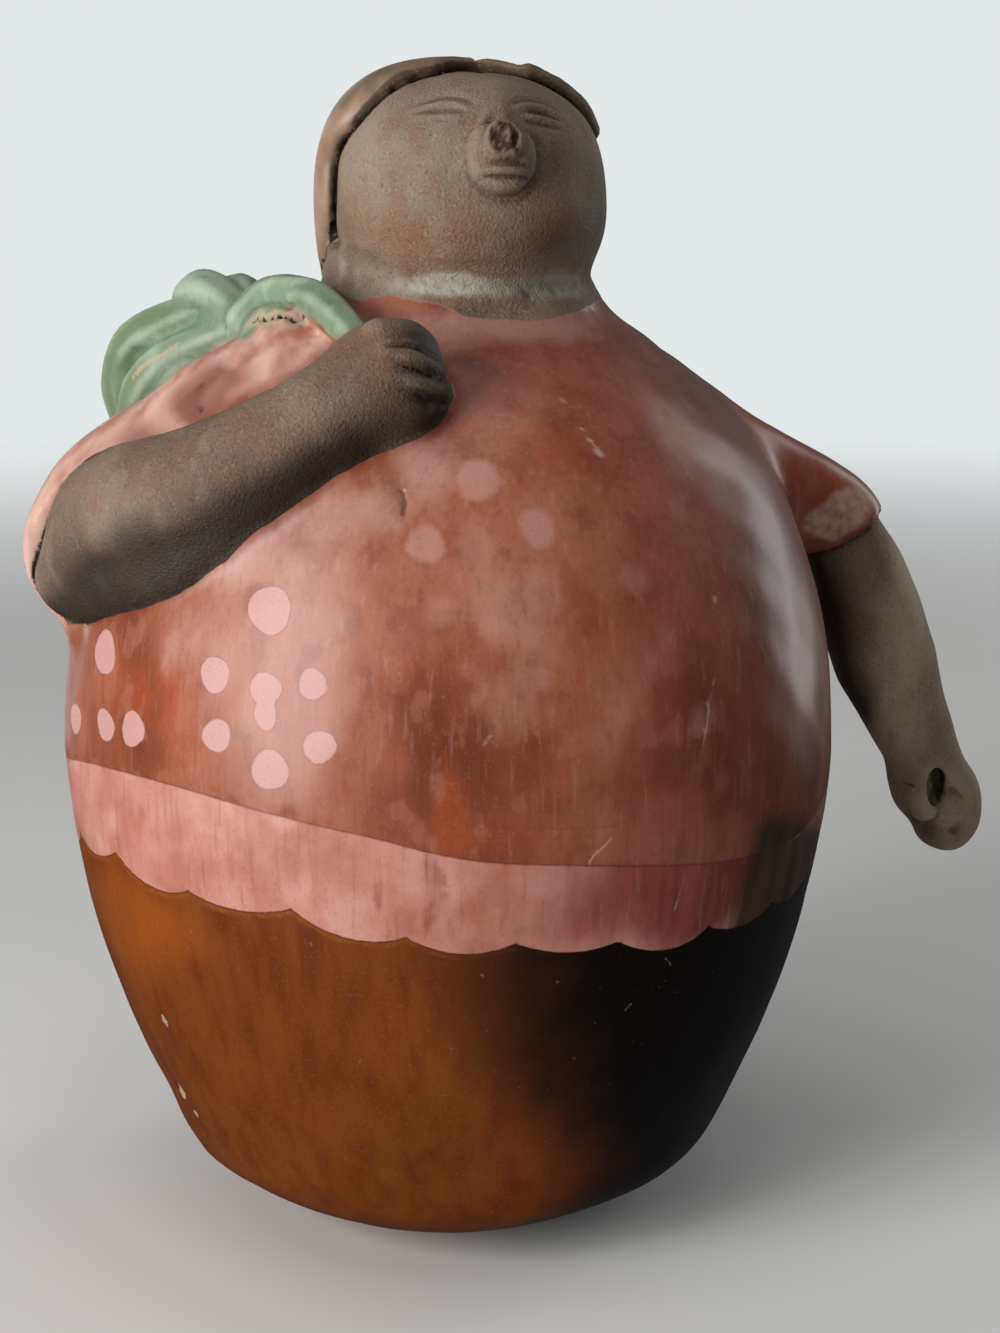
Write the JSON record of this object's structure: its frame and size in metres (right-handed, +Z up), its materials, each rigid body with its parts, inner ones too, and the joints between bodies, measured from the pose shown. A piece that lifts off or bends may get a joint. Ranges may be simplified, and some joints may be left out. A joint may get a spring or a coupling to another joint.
{
  "type": "ceramic figurine",
  "caption": "Burnished clay figurine of a very round standing woman looking up, one hand holding green plantains on her shoulder and the other arm hanging clear.",
  "frame": {"origin": "middle of the flat base, on the surface that the figurine stands on", "axes": "+Z up, the woman faces -Y, her left side is +X"},
  "size_m": [0.2195, 0.1674, 0.25],
  "materials": {
    "burnished_clay": "burnished coloured slips over bare fired clay"
  },
  "bodies": {
    "root": {"figurine": "burnished_clay"}
  },
  "joints": []
}
